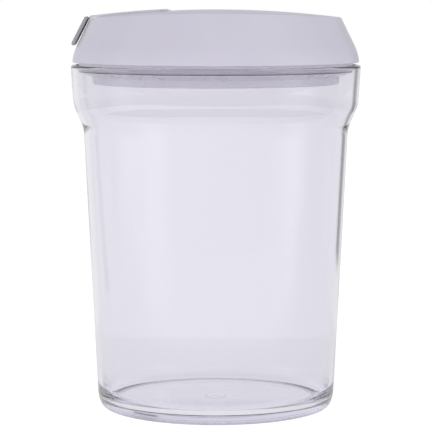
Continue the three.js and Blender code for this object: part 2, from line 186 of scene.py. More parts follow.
# Flap plug and flap seal, as steps in from the port's wall
PLUG_INSET = 1.0 * MM
PLUG_DEPTH = 4.5 * MM
PLUG_NECK_INSET = 1.8 * MM
PLUG_CUP_WALL = 0.8 * MM
PLUG_CUP_FLOOR = 1.4 * MM
SEAL_INSET = 1.5 * MM
SEAL_REACH = 1.7 * MM
SEAL_BOTTOM = -1.5 * MM
SEAL_TOP = -0.1 * MM

# Pull tab
TAB_THICKNESS = 1.8 * MM
TAB_HALF_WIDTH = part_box("pull_tab")[1].y
TAB_TOP = Vector((-64.7 * MM, LID_Z + 22.85 * MM))
TAB_TIP = Vector((-71.9 * MM, LID_Z + 8.9 * MM))
TAB_FOOT_R = 4.0 * MM
TAB_TOP_R = 0.6 * MM
TAB_EDGE_ROUND = 0.4 * MM
TONGUE_THICKNESS = 0.8 * MM
TONGUE_INNER_X = -57.4 * MM
TONGUE_NECK_X = -61.8 * MM
TONGUE_INNER_HALF = 7.4 * MM
TONGUE_NECK_HALF = 5.8 * MM
TONGUE_INTO_LEAF = 2.0 * MM


# ---- outlines, as lists of 2-D points ----


def quadratic(start, control, end, steps=10):
    """Points on a quadratic curve, both ends included."""
    a, b, c = Vector(start), Vector(control), Vector(end)
    shares = [i / steps for i in range(steps + 1)]
    return [tuple(a * (1 - t) ** 2 + b * 2 * t * (1 - t) + c * t * t) for t in shares]


def evenly(end, steps):
    """Values from 0 to end in equal steps."""
    return [end * k / steps for k in range(steps + 1)]


def half_turn(steps):
    """Angles from 0 to pi in equal steps."""
    return evenly(math.pi, steps)


def plain(points):
    """Points as corners that stay unrounded."""
    return [(x, y, 0) for x, y in points]


def rounded(corners, closed=False, steps=CORNER_STEPS, support=SUPPORT):
    """An outline through corners (x, y, radius), where an arc of that radius replaces each corner.

    Long straight stretches get a point near each rounded corner, so that they shade as flat.
    """
    count = len(corners)
    spots = [Vector(corner[:2]) for corner in corners]
    reaches, turns = [], []
    for i, (_, _, radius) in enumerate(corners):
        if radius == 0 or (not closed and i in (0, count - 1)):
            reaches.append(0)
            turns.append(0)
            continue
        before, after = spots[i - 1] - spots[i], spots[(i + 1) % count] - spots[i]
        turn = math.pi - before.angle(after)
        reaches.append(radius * math.tan(turn / 2))
        turns.append(turn)
    points = []
    for i, here in enumerate(spots):
        if not reaches[i]:
            points.append(tuple(here))
            continue
        neighbours = [(i - 1) % count, (i + 1) % count]
        ways = [(spots[n] - here).normalized() for n in neighbours]
        rooms = [(spots[n] - here).length - reaches[i] - reaches[n] for n in neighbours]
        start, finish = [here + way * reaches[i] for way in ways]
        radius = corners[i][2]
        centre = here + (ways[0] + ways[1]).normalized() * (radius / math.cos(turns[i] / 2))
        if support and rooms[0] > 3 * support:
            points.append(tuple(start + ways[0] * support))
        for step in range(steps + 1):
            angle = turns[i] * step / steps
            spoke = (start - centre) * math.sin(turns[i] - angle) + (finish - centre) * math.sin(angle)
            points.append(tuple(centre + spoke / math.sin(turns[i])))
        if support and rooms[1] > 3 * support:
            points.append(tuple(finish + ways[1] * support))
    return points


def divided(outline, longest=PLAN_STEP):
    """A closed outline whose straight stretches are cut to steps of at most `longest`."""
    points = []
    for i, start in enumerate(outline):
        a, b = Vector(start), Vector(outline[(i + 1) % len(outline)])
        pieces = max(1, math.ceil((b - a).length / longest))
        points += [tuple(a.lerp(b, k / pieces)) for k in range(pieces)]
    return points


def rectangle_plan(low, high, half_width, low_radius, high_radius, steps=12):
    """A closed plan, anticlockwise, from x = low to x = high with rounded corners."""
    corners = [
        (low, -half_width, low_radius),
        (high, -half_width, high_radius),
        (high, half_width, high_radius),
        (low, half_width, low_radius),
    ]
    return divided(rounded(corners, closed=True, steps=steps))


def kept_within(plan, limit):
    """The plan with its points drawn in to at most a distance from the lid's axis."""
    kept = []
    for point in plan:
        spot = Vector(point)
        kept.append(tuple(spot * min(1, limit / spot.length)))
    return kept


def circle_plan(radius, steps=40):
    turns = [2 * math.pi * i / steps for i in range(steps)]
    return [(radius * math.cos(a), radius * math.sin(a)) for a in turns]


# ---- meshes ----


def mesh_object(name, vertices, faces):
    """A closed mesh with its faces turned outwards, shaded smooth but for its sharp edges."""
    mesh = bpy.data.meshes.new(name)
    mesh.from_pydata([tuple(v) for v in vertices], [], faces)
    build = bmesh.new()
    build.from_mesh(mesh)
    bmesh.ops.remove_doubles(build, verts=build.verts, dist=1e-7)
    bmesh.ops.recalc_face_normals(build, faces=build.faces)
    build.to_mesh(mesh)
    build.free()
    obj = bpy.data.objects.new(name, mesh)
    bpy.context.scene.collection.objects.link(obj)
    shade(obj)
    return obj


def shade(obj, angle=SHARP_ANGLE):
    obj.data.shade_smooth()
    obj.data.set_sharp_from_angle(angle=angle)


def turned(name, outline_at, steps=TURN_STEPS, closed=False):
    """A solid turned round Z. outline_at(angle) gives its (r, z) points, which may change with the angle.

    An open outline starts and ends on the axis.
    """
    outlines = [outline_at(2 * math.pi * i / steps) for i in range(steps)]
    size = len(outlines[0])
    vertices, faces = [], []
    for i, outline in enumerate(outlines):
        angle = 2 * math.pi * i / steps
        vertices += [(r * math.cos(angle), r * math.sin(angle), z) for r, z in outline]
    for i in range(steps):
        here, there = i * size, (i + 1) % steps * size
        for k in range(size if closed else size - 1):
            n = (k + 1) % size
            quad = [here + k, there + k, there + n, here + n]
            if not closed and k == 0:
                quad = [0, there + n, here + n]
            elif not closed and n == size - 1:
                quad = [here + k, there + k, n]
            faces.append(quad)
    return mesh_object(name, vertices, faces)


def flat(z):
    """A height that is the same everywhere."""
    return lambda x, y: z


def raised(height, offset):
    """A height function, moved up by offset."""
    return lambda x, y: height(x, y) + offset


def swept(name, plan, section, closed=False, cap_rings=0):
    """A solid whose section is carried round a closed, anticlockwise plan.

    The section holds (inset, height) points, and each height is a function of x and y. An open section
    is capped at both ends, and cap_rings cuts the last cap finely where its height varies.
    """
    normals = inward_normals(plan)
    rings = []
    for inset, height in section:
        spots = [Vector(p) + n * inset for p, n in zip(plan, normals)]
        rings.append([(s.x, s.y, height(s.x, s.y)) for s in spots])
    rings += cap_rings_inside(rings[-1], section[-1][1], cap_rings)
    return lofted(name, rings, closed)


def lofted(name, rings, closed=False):
    """A solid through a row of rings with the same number of points, capped at both ends unless closed."""
    size = len(rings[0])
    vertices = [v for ring in rings for v in ring]
    faces = []
    for k in range(len(rings) if closed else len(rings) - 1):
        low, high = k * size, (k + 1) % len(rings) * size
        for i in range(size):
            n = (i + 1) % size
            faces.append([low + i, low + n, high + n, high + i])
    if not closed:
        faces.append(list(range(size))[::-1])
        faces.append([(len(rings) - 1) * size + i for i in range(size)])
    return mesh_object(name, vertices, faces)


def inward_normals(plan):
    """For each point of a closed, anticlockwise plan, the direction into it."""
    normals = []
    for i, _ in enumerate(plan):
        along = Vector(plan[(i + 1) % len(plan)]) - Vector(plan[i - 1])
        normals.append(Vector((-along.y, along.x)).normalized())
    return normals


def cap_rings_inside(ring, height, count):
    """Rings that shrink from a ring towards its middle, at the height that the function gives."""
    middle = sum((Vector(p[:2]) for p in ring), Vector((0, 0))) / len(ring)
    rings = []
    for k in range(1, count + 1):
        share = 1 - k / (count + 0.5)
        spots = [middle + (Vector(p[:2]) - middle) * share for p in ring]
        rings.append([(s.x, s.y, height(s.x, s.y)) for s in spots])
    return rings


def place(obj, matrix):
    obj.data.transform(matrix)
    return obj


def combine(target, tool, operation):
    """Joins tool to target or cuts it out of target. The tool is used up."""
    modifier = target.modifiers.new("combine", "BOOLEAN")
    modifier.operation = operation
    modifier.solver = "EXACT"
    modifier.object = tool
    graph = bpy.context.evaluated_depsgraph_get()
    mesh = bpy.data.meshes.new_from_object(target.evaluated_get(graph))
    target.modifiers.clear()
    old = target.data
    target.data = mesh
    mesh.name = target.name
    bpy.data.meshes.remove(old)
    bpy.data.objects.remove(tool)
    build = bmesh.new()
    build.from_mesh(mesh)
    bmesh.ops.dissolve_degenerate(build, dist=2e-6, edges=build.edges)
    build.to_mesh(mesh)
    build.free()
    shade(target)
    return target


def join(target, tool):
    return combine(target, tool, "UNION")


def cut(target, tool):
    return combine(target, tool, "DIFFERENCE")


def bar_along_y(name, radius, low, high, centre, edge=0.0):
    """A round bar between y = low and y = high, on the line through centre, with chamfered ends."""
    section = [(edge, flat(low)), (0, flat(low + edge)), (0, flat(high - edge)), (edge, flat(high))]
    if edge == 0:
        section = [(0, flat(low)), (0, flat(high))]
    bar = swept(name, circle_plan(radius), section)
    upright = Matrix.Rotation(math.radians(-90), 4, "X")
    return place(bar, Matrix.Translation((centre.x, 0, centre.z)) @ upright)


# ---- surfaces that several pieces share ----


def dome(x, y):
    """Height of the lid's crowned top."""
    return DOME_Z - DOME_BEND_X * x * x - DOME_BEND_Y * y * y


def above_dome(offset):
    return raised(dome, offset)


SEAT_TILT = math.atan(2 * DOME_BEND_X * abs(SEAT_X))
SEAT_Z = dome(SEAT_X, 0) - SEAT_SUNK
SEAT_FRAME = Matrix.Translation((SEAT_X, 0, SEAT_Z)) @ Matrix.Rotation(-SEAT_TILT, 4, "Y")


def above_seat(offset):
    """Heights over the flap's seat, which slopes with the dome."""
    return lambda x, y: SEAT_Z + (x - SEAT_X) * math.tan(SEAT_TILT) + offset


def level_in_seat(z):
    """Heights, in the seat's frame, of the level plane at z."""
    return lambda x, y: (z - SEAT_Z - x * math.sin(SEAT_TILT)) / math.cos(SEAT_TILT)


def cone_radius(z):
    return CONE_LOW_R - (z - CONE_LOW_Z) * CONE_RUN


def bend_at(angle):
    """How strongly the dome bends down along one direction."""
    return DOME_BEND_X * math.cos(angle) ** 2 + DOME_BEND_Y * math.sin(angle) ** 2


def edge_of_cap(angle, inset=0.0, drop=0.0):
    """Where the cone, moved in by inset, meets the dome, moved down by drop, at one angle."""
    bend = bend_at(angle)
    steep = 1 / CONE_RUN
    apex = CONE_LOW_Z + (CONE_LOW_R - inset) * steep
    r = (steep - math.sqrt(steep * steep - 4 * bend * (apex - DOME_Z + drop))) / (2 * bend)
    return r, DOME_Z - drop - bend * r * r


def port_plan(grow):
    half = PORT_LENGTH / 2 + grow
    corner = PORT_CORNER_R + grow
    return rectangle_plan(-half, half, PORT_WIDTH / 2 + grow, corner, corner)


def flap_plan(grow, rear_round):
    """The flap's plan from its front corners to the hinge."""
    front = FLAP_FRONT_X - grow
    return rectangle_plan(front, HINGE.x, FLAP_HALF_WIDTH + grow, FLAP_CORNER_R + grow, rear_round)


def flared_cutter(name, plan, floor, floor_round):
    """A cutter through the dome that rounds the bottom of its hole and the lip where it meets the dome."""
    section = []
    for k in range(CORNER_STEPS + 1):
        turn = math.pi / 2 * k / CORNER_STEPS
        inset = floor_round * (1 - math.sin(turn))
        section.append((inset, raised(floor, floor_round * (1 - math.cos(turn)))))
    for k in range(CORNER_STEPS):
        turn = OPENING_LIP_TURN * k / (CORNER_STEPS - 1)
        flare = OPENING_ROUND * (1 - math.cos(turn))
        section.append((-flare, above_dome(OPENING_ROUND * (math.sin(turn) - 1))))
    section.append((-2 * OPENING_ROUND, above_dome(0.3 * OPENING_ROUND)))
    section.append((-2 * OPENING_ROUND, above_dome(2 * CUT_PAST)))
    return swept(name, plan, section, cap_rings=2)


# ---- container ----


def side_outline(inset):
    """The curves of the wall's shoulder and collar, moved in by inset."""
    shoulder = [(BODY_TOP_R + r * MM - inset, SHOULDER_Z + z * MM) for r, z in SHOULDER_CURVE]
    collar = [(COLLAR_R + r * MM - inset, COLLAR_Z + z * MM) for r, z in COLLAR_CURVE]
    return quadratic(*shoulder) + quadratic(*collar)


def graded(start, end, first=0.4 * MM):
    """Points between two ends of a straight stretch: one close to each end, and a few between."""
    a, b = Vector(start), Vector(end)
    near = first / (b - a).length
    shares = [near, 0.25, 0.5, 0.75, 1 - near]
    return [tuple(a.lerp(b, t)) for t in shares]


def container_outline():
    """The container in one half-plane: under the foot, up the outside, over the rim and down the inside."""
    nub_z = BASE_RECESS - GATE_NUB_HEIGHT
    foot = rounded(
        [
            (0, nub_z, 0),
            (GATE_NUB_R, nub_z, GATE_NUB_ROUND),
            (GATE_NUB_R + GATE_NUB_SLOPE, BASE_RECESS, GATE_NUB_ROUND),
            (FOOT_INNER_R - FOOT_SLOPE, BASE_RECESS, FOOT_SLOPE_ROUND),
            (FOOT_INNER_R, 0, FOOT_SLOPE_ROUND),
            (FOOT_OUTER_R, 0, 0),
        ]
    )
    bulge = (CORNER_R + CORNER_BULGE[0], CORNER_BULGE[1])
    corner = quadratic((FOOT_OUTER_R, 0), bulge, (CORNER_R, CORNER_Z), 16)
    outer = side_outline(0)
    half_wall = WALL / 2
    rim_r, rim_z = RIM_R - half_wall, RIM_Z - half_wall
    rim = [(rim_r + half_wall * math.cos(a), rim_z + half_wall * math.sin(a)) for a in half_turn(12)]
    inner = side_outline(WALL)[::-1]
    run = (BODY_TOP_R - CORNER_R) / (SHOULDER_Z - CORNER_Z)
    inner_r = CORNER_R + run * (INNER_CORNER_Z - CORNER_Z) - WALL
    pull = (inner_r - INNER_CORNER_PULL, FLOOR_Z)
    floor_corner = quadratic((inner_r, INNER_CORNER_Z), pull, (FLOOR_R, FLOOR_Z), 16)
    floor = [(FLOOR_R * s, FLOOR_Z + FLOOR_CROWN * (1 - s * s)) for s in (0.95, 0.8, 0.6, 0.4, 0.2, 0)]
    return (
        foot[:-1]
        + corner
        + graded(corner[-1], outer[0])
        + outer
        + graded(outer[-1], rim[0])
        + rim
        + graded(rim[-1], inner[0])
        + inner
        + graded(inner[-1], floor_corner[0])
        + floor_corner
        + floor
    )


def make_container():
    outline = container_outline()
    return turned("clear_container", lambda angle: outline)


# ---- lid ----


def cap_outline(angle):
    """The cap's shell in one half-plane: dome, edge, cone, band and lip, then back up the inside."""
    outer_r, outer_z = edge_of_cap(angle)
    slant = math.hypot(1, CONE_RUN)
    inner_r, inner_z = edge_of_cap(angle, CAP_SKIN * slant, CAP_SKIN)
    bend = bend_at(angle)
    dome_steps, ceiling_steps = 22, 10
    dome_end = outer_r - 1.6 * MM
    top = [(r, DOME_Z - bend * r * r) for r in evenly(dome_end, dome_steps)]
    bow = quadratic(
        (CONE_LOW_R, CONE_LOW_Z),
        (CONE_LOW_R + CONE_RUN * CAP_BOW, CONE_LOW_Z - CAP_BOW),
        (CAP_EDGE_R, LID_Z + CAP_BAND),
    )
    ceiling_edge = 2.0 * MM
    outer = rounded(
        plain(top)
        + [(outer_r, outer_z, CAP_EDGE_ROUND)]
        + plain(bow)
        + [
            (CAP_EDGE_R, LID_Z, 0.4 * MM),
            (SNAP_R, LID_Z, 0.3 * MM),
            (SNAP_R, SNAP_Z, 0.4 * MM),
            (CONE_LOW_R - CAP_SKIN * slant, CONE_LOW_Z, 1.0 * MM),
            (inner_r, inner_z, 1.0 * MM),
            (inner_r - ceiling_edge, inner_z + ceiling_edge * 2 * bend * inner_r, 0),
        ]
    )
    ceiling = evenly(inner_r - 2 * ceiling_edge, ceiling_steps)
    return outer + [(r, DOME_Z - CAP_SKIN - bend * r * r) for r in reversed(ceiling)]


def make_seat_tray():
    """The thickened floor under the flap's seat."""
    plan = kept_within(flap_plan(SEAT_SKIN, TRAY_REAR_ROUND), CONE_TOP_R - TRAY_SIDE_MARGIN)
    section = [(0, above_seat(-SEAT_SKIN)), (0, above_dome(-INTO_DOME))]
    return swept("seat_tray", plan, section, cap_rings=8)


def pocket_plan(grow):
    front, rear = HINGE.x - POCKET_R - grow, POCKET_REAR_X + grow
    half_width = POCKET_HALF_LENGTH + grow
    return rectangle_plan(front, rear, half_width, POCKET_CORNER_R, POCKET_CORNER_R, steps=4)


def make_pocket_boss():
    """The thickened wall round the hinge's pocket: half a bar below the axis and a shaft above it.

    The shaft is a touch narrower than the bar, so that no two of their faces lie in one plane.
    """
    trough = bar_along_y(
        "pocket_boss",
        POCKET_R + POCKET_SKIN,
        -POCKET_HALF_LENGTH - POCKET_SKIN,
        POCKET_HALF_LENGTH + POCKET_SKIN,
        HINGE,
    )
    upper_half = [(0, flat(HINGE.z)), (0, flat(DOME_Z + CUT_PAST))]
    cut(trough, swept("upper_half", pocket_plan(3 * POCKET_SKIN), upper_half))
    overlap = 0.5 * MM
    just_inside = 0.99 * POCKET_SKIN
    section = [(0, flat(HINGE.z - overlap)), (0, above_dome(-INTO_DOME))]
    shaft = swept("pocket_shaft", pocket_plan(just_inside), section, cap_rings=6)
    return join(trough, shaft)


def make_trough():
    """The cutter for the hinge's pocket: half round below, with a ledge at the rear, and open above.

    It is a touch smaller than the pocket's mouth, so that no two of their faces lie in one plane.
    """
    rear = POCKET_REAR_X - HINGE.x - CUT_SHRINK
    top = DOME_Z + CUT_PAST - HINGE.z
    radius = POCKET_R - CUT_SHRINK
    length = POCKET_HALF_LENGTH - CUT_SHRINK
    bowl = [(-radius * math.cos(a), -radius * math.sin(a)) for a in half_turn(20)]
    profile = [(rear, top), (-radius, top)] + bowl + [(rear, 0)]
    cutter = swept("trough", profile, [(0, flat(-length)), (0, flat(length))])
    return laid_on_hinge(cutter)


def laid_on_hinge(obj):
    """Turns a solid whose plan is in XY, so that the plan stands upright round the hinge's axis."""
    upright = Matrix.Rotation(math.radians(90), 4, "X")
    return place(obj, Matrix.Translation((HINGE.x, 0, HINGE.z)) @ upright)


def make_hinge_lug(side):
    """One of the two ears that hold the pin, where side is 1 or -1. Its top stays just below the dome."""
    low, high = LUG_START_Y, POCKET_HALF_LENGTH + LUG_INTO_WALL
    if side < 0:
        low, high = -high, -low
    foot_z = -POCKET_R - LUG_INTO_FLOOR
    arch = [(KNUCKLE_R * math.cos(a), KNUCKLE_R * math.sin(a)) for a in half_turn(14)]
    roof = [dome(HINGE.x + x, high if side > 0 else low) - LUG_TOP_DROP - HINGE.z for x, z in arch]
    arch = [(x, min(z, top)) for (x, z), top in zip(arch, roof)]
    plan = divided(arch + [(-KNUCKLE_R, foot_z), (KNUCKLE_R, foot_z)], 1.5 * MM)
    edge = KNUCKLE_EDGE
    section = [
        (edge, flat(-high)),
        (edge / 3, flat(-high + edge / 3)),
        (0, flat(-high + edge)),
        (0, flat(-low - edge)),
        (edge / 3, flat(-low - edge / 3)),
        (edge, flat(-low)),
    ]
    return laid_on_hinge(swept("hinge_lug", plan, section))


def make_pin_bore():
    open_end = POCKET_HALF_LENGTH + POCKET_SKIN + CUT_PAST / 2
    return bar_along_y("pin_bore", BORE_R, -PIN_HALF_LENGTH - FIT_GAP, open_end, HINGE)


def make_seat_front():
    """The cutter that opens the seat's front edge, where the pull tab passes."""
    plan = rectangle_plan(*SEAT_FRONT_X, SEAT_FRONT_HALF_WIDTH, SEAT_FRONT_ROUND, SEAT_FRONT_ROUND)
    return swept("seat_front", plan, [(0, above_seat(0)), (0, flat(DOME_Z + CUT_PAST))])


def make_port_opening():
    """The cutter for the hole round the port's chimney, with a small chamfer where it meets the seat."""
    chamfer = 0.25 * MM
    section = [
        (0, flat(-3 * SEAT_SKIN)),
        (0, flat(-0.2 * MM)),
        (-chamfer, flat(0.1 * MM)),
        (-chamfer, flat(3 * SEAT_SUNK)),
    ]
    opening = swept("port_opening", port_plan(CHIMNEY_WALL + FIT_GAP), section)
    return place(opening, SEAT_FRAME)


def make_lid_shell():
    shell = turned("lid_cap", cap_outline)
    join(shell, make_seat_tray())
    join(shell, make_pocket_boss())
    cut(shell, flared_cutter("seat", flap_plan(FLAP_GAP, SEAT_REAR_ROUND), above_seat(0), SEAT_FLOOR_ROUND))
    cut(shell, make_seat_front())
    cut(shell, make_port_opening())
    cut(shell, flared_cutter("pocket", pocket_plan(0), flat(POCKET_MOUTH_Z), POCKET_FLOOR_ROUND))
    cut(shell, make_trough())
    join(shell, make_hinge_lug(1))
    join(shell, make_hinge_lug(-1))
    cut(shell, make_pin_bore())
    return shell


def liner_outline():
    upstand_inner = UPSTAND_R - UPSTAND_WALL
    cup_r = GROOVE_R - PLUG_WALL
    cup_z = PLUG_BOTTOM_Z + PLUG_FLOOR
    return rounded(
        [
            (0, PLUG_BOTTOM_Z, 0),
            (PLUG_R, PLUG_BOTTOM_Z, 1.0 * MM),
            (PLUG_R, LEDGE_FOOT_Z, 0.6 * MM),
            (LEDGE_R, LEDGE_EDGE_Z, 0.2 * MM),
            (LEDGE_R, GROOVE_BOTTOM_Z, 0.15 * MM),
            (GROOVE_R, GROOVE_BOTTOM_Z, 0.2 * MM),
            (GROOVE_R, FLANGE_BOTTOM_Z, 0.2 * MM),
            (UPSTAND_R, FLANGE_BOTTOM_Z, 0.4 * MM),
            (UPSTAND_R, UPSTAND_TOP_Z, 0.3 * MM),
            (upstand_inner, UPSTAND_TOP_Z, 0.3 * MM),
            (upstand_inner, FLANGE_TOP_Z, 0.5 * MM),
            (cup_r, FLANGE_TOP_Z, 0.4 * MM),
            (cup_r, cup_z, 0.8 * MM),
            (0, cup_z, 0),
        ]
    )


def make_liner():
    outline = liner_outline()
    liner = turned("plug_liner", lambda angle: outline)
    join(liner, make_chimney())
    return cut(liner, make_port())


def make_chimney():
    """The wall round the port, from the plug's floor up to the seat."""
    rim = 0.4 * MM
    section = [
        (0, level_in_seat(PLUG_BOTTOM_Z + PLUG_FLOOR / 2)),
        (0, flat(-CHIMNEY_DROP - rim)),
        (rim / 4, flat(-CHIMNEY_DROP - rim / 4)),
        (rim, flat(-CHIMNEY_DROP)),
    ]
    return place(swept("chimney", port_plan(CHIMNEY_WALL), section), SEAT_FRAME)


def make_port():
    """The cutter for the port, which flares a little at both ends."""
    bottom = level_in_seat(PLUG_BOTTOM_Z)
    section = [
        (-1.0 * MM, raised(bottom, -5 * MM)),
        (-1.0 * MM, raised(bottom, -0.3 * MM)),
        (-0.3 * MM, raised(bottom, 0.1 * MM)),
        (0, raised(bottom, 0.6 * MM)),
        (0, flat(-CHIMNEY_DROP - 0.5 * MM)),
        (-0.1 * MM, flat(-CHIMNEY_DROP - 0.15 * MM)),
        (-0.5 * MM, flat(-CHIMNEY_DROP + 0.1 * MM)),
        (-0.5 * MM, flat(3 * MM)),
    ]
    return place(swept("port", port_plan(0), section), SEAT_FRAME)


def make_rim_seal():
    """A silicone ring that lies on the liner's ledge, with a lip that reaches for the container's wall."""
    inner = GROOVE_R + FIT_GAP
    bottom = GROOVE_BOTTOM_Z + FIT_GAP
    outline = rounded(
        [
            (inner, bottom, 0.2 * MM),
            (SEAL_BODY_R, bottom, 0.3 * MM),
            (SEAL_LIP_R, bottom + 0.7 * MM, 0.25 * MM),
            (SEAL_LIP_R - 0.2 * MM, SEAL_TOP_Z - 0.3 * MM, 0.2 * MM),
            (SEAL_LIP_R - 0.9 * MM, SEAL_TOP_Z, 0.2 * MM),
            (inner, SEAL_TOP_Z, 0.3 * MM),
        ],
        closed=True,
    )
    return turned("rim_seal_ring", lambda angle: outline, closed=True)


def make_hinge_pin():
    return bar_along_y("steel_hinge_pin", PIN_R, -PIN_HALF_LENGTH, PIN_HALF_LENGTH, HINGE, PIN_EDGE)


# ---- flap ----


def make_flap():
    """The flap's plate and knuckle, with room for the lugs at its rear and for the tab's tongue below."""
    plate = make_flap_plate()
    half_length = KNUCKLE_HALF_LENGTH
    join(plate, bar_along_y("knuckle", KNUCKLE_R, -half_length, half_length, HINGE, KNUCKLE_EDGE))
    cut(plate, make_rear_notch(1))
    cut(plate, make_rear_notch(-1))
    bore_end = 1.5 * FLAP_HALF_WIDTH
    cut(plate, bar_along_y("knuckle_bore", BORE_R, -bore_end, bore_end, HINGE))
    return cut(plate, tongue_notch())


def make_rear_notch(side):
    """The cutter for the corner beside the knuckle, where a lug stands."""
    outer = FLAP_HALF_WIDTH + CUT_PAST / 2
    middle = side * (KNUCKLE_HALF_LENGTH + outer) / 2
    half = (outer - KNUCKLE_HALF_LENGTH) / 2
    rear = HINGE.x + POCKET_R
    plan = rectangle_plan(REAR_NOTCH_X, rear, half, REAR_NOTCH_ROUND, REAR_NOTCH_ROUND, steps=4)
    plan = [(x, y + middle) for x, y in plan]
    return swept("rear_notch", plan, [(0, flat(LID_Z)), (0, flat(DOME_Z + 1.5 * CUT_PAST))])


def make_flap_plate():
    """The plate on the seat. Its top follows the dome and its front leans with the cap's side."""
    front_top = dome(-CONE_TOP_R, 0) + FLAP_PROUD
    front_low = SEAT_Z - (CONE_TOP_R + SEAT_X) * math.tan(SEAT_TILT)
    cap_side = cone_radius(front_low)
    plan = kept_within(flap_plan(0, FLAP_REAR_ROUND), cap_side)
    front_lean = (front_top - front_low) * CONE_RUN
    columns = []
    for point, inward in zip(plan, inward_normals(plan)):
        lean = front_lean if math.hypot(*point) > cap_side - 0.05 * MM else 0
        columns.append(plate_edge(point, inward, lean))
    rings = [list(ring) for ring in zip(*columns)]
    rings += cap_rings_inside(rings[-1], above_dome(FLAP_PROUD), 9)
    return lofted("flap_plate", rings)


def plate_edge(point, inward, lean):
    """The points up the plate's edge at one point of its plan, from the flat underside to the top."""
    low, high = above_seat(FIT_GAP), above_dome(FLAP_PROUD)
    low_z, top_z = low(*point), high(*point)
    profile = rounded(
        [
            (FLAP_FLAT_INSET, low_z, 0),
            (0, low_z, FLAP_UNDER_ROUND),
            (lean, top_z, FLAP_EDGE_ROUND),
            (FLAP_FLAT_INSET, top_z, 0),
        ],
        support=0,
    )
    column = []
    for distance, z in profile:
        spot = Vector(point) + inward * distance
        share = min(1, max(0, (z - low_z) / (top_z - low_z)))
        sag = high(spot.x, spot.y) - top_z
        drop = low(spot.x, spot.y) - low_z
        column.append((spot.x, spot.y, z + share * sag + (1 - share) * drop))
    return column


def tongue_slab(name, gap, low, high, corner):
    """The tab's dovetail tongue as a slab between two heights over the seat, grown by gap."""
    run = (TONGUE_INNER_HALF - TONGUE_NECK_HALF) / (TONGUE_INNER_X - TONGUE_NECK_X)
    outer_x = TONGUE_NECK_X - TONGUE_INTO_LEAF
    outer_half = TONGUE_NECK_HALF - TONGUE_INTO_LEAF * run + gap
    inner_half = TONGUE_INNER_HALF + gap
    inner_x = TONGUE_INNER_X + gap
    corners = [
        (outer_x, -outer_half, 0),
        (inner_x, -inner_half, corner),
        (inner_x, inner_half, corner),
        (outer_x, outer_half, 0),
    ]
    plan = divided(rounded(corners, closed=True))
    return swept(name, plan, [(0, above_seat(low)), (0, above_seat(high))])


def tongue_notch():
    """The notch under the flap's front edge, open below, with the fit's gap round the tab's tongue."""
    return tongue_slab("notch", FIT_GAP, -FIT_GAP, FIT_GAP + TONGUE_THICKNESS + FIT_GAP, 0.5 * MM)


def make_flap_plug():
    """The cup under the flap, with a neck that holds the flap seal."""
    neck = PLUG_NECK_INSET
    cup = neck + PLUG_CUP_WALL
    cup_floor = -PLUG_DEPTH + PLUG_CUP_FLOOR
    flat_inset = 4.0 * MM
    corners = [
        (flat_inset, -PLUG_DEPTH, 0),
        (PLUG_INSET, -PLUG_DEPTH, 0.7 * MM),
        (PLUG_INSET, -CHIMNEY_DROP, 0.2 * MM),
        (neck, -CHIMNEY_DROP, 0.1 * MM),
        (neck, 0, 0.15 * MM),
        (cup, 0, 0.15 * MM),
        (cup, cup_floor, 0.4 * MM),
        (flat_inset, cup_floor, 0),
    ]
    section = [(inset, flat(z)) for inset, z in rounded(corners)]
    return place(swept("flap_plug_cup", port_plan(0), section), SEAT_FRAME)


def make_flap_seal():
    """The flat ring on the plug's neck. Its outer lip thins to its edge."""
    corners = [
        (SEAL_INSET, SEAL_BOTTOM, 0.2 * MM),
        (SEAL_INSET, SEAL_TOP, 0.2 * MM),
        (-SEAL_REACH + 0.9 * MM, SEAL_TOP, 0.3 * MM),
        (-SEAL_REACH, SEAL_TOP - 0.5 * MM, 0.2 * MM),
        (-SEAL_REACH, SEAL_BOTTOM + 0.1 * MM, 0.2 * MM),
        (-SEAL_REACH + 0.8 * MM, SEAL_BOTTOM, 0.2 * MM),
    ]
    section = [(inset, flat(z)) for inset, z in rounded(corners, closed=True)]
    return place(swept("flap_seal_ring", port_plan(0), section, closed=True), SEAT_FRAME)


def tab_half_width(left):
    """Half the leaf's width at a distance `left` from its foot, which has round corners."""
    if left >= TAB_FOOT_R:
        return TAB_HALF_WIDTH
    return TAB_HALF_WIDTH - TAB_FOOT_R + math.sqrt(TAB_FOOT_R ** 2 - (TAB_FOOT_R - left) ** 2)


def make_pull_tab():
    """A soft grey leaf that hangs outside the lid's side, on a thin tongue under the flap's edge."""
    half = TAB_THICKNESS / 2
    down = (TAB_TIP - TAB_TOP).normalized()
    inward = Vector((-down.y, down.x))
    start = TAB_TOP + inward * half
    length = (TAB_TIP - TAB_TOP).length
    rings = []
    for s in tab_stations(length):
        spot = start + down * s
        left = length - s
        thick, width = half, tab_half_width(left)
        if left < half:
            thick = math.sqrt(max(1e-10, half * half - (half - left) ** 2))
        if s < TAB_TOP_R:
            pulled = TAB_TOP_R - math.sqrt(TAB_TOP_R ** 2 - (TAB_TOP_R - s) ** 2)
            thick, width = half - pulled, width - pulled
        section = tab_section(width, thick, min(TAB_EDGE_ROUND, 0.9 * thick))
        rings.append([(spot.x + inward.x * n, y, spot.y + inward.y * n) for y, n in section])
    leaf = lofted("soft_pull_tab", rings)
    tongue = tongue_slab("tongue", 0, FIT_GAP, FIT_GAP + TONGUE_THICKNESS, 0.4 * MM)
    return join(leaf, tongue)


def tab_stations(length):
    """Distances down the leaf, closer together where its ends are rounded."""
    top = [TAB_TOP_R * (1 - math.cos(math.radians(15 * k))) for k in range(6)]
    foot = [length - TAB_FOOT_R * (1 - math.cos(math.radians(6 * k))) for k in range(15, 0, -1)]
    end = [length - 0.5 * TAB_THICKNESS * (1 - math.cos(math.radians(12 * k))) for k in range(5, -1, -1)]
    middle = [TAB_TOP_R + (foot[0] - TAB_TOP_R) * k / 16 for k in range(16)]
    return sorted(set(top + middle + foot + end))


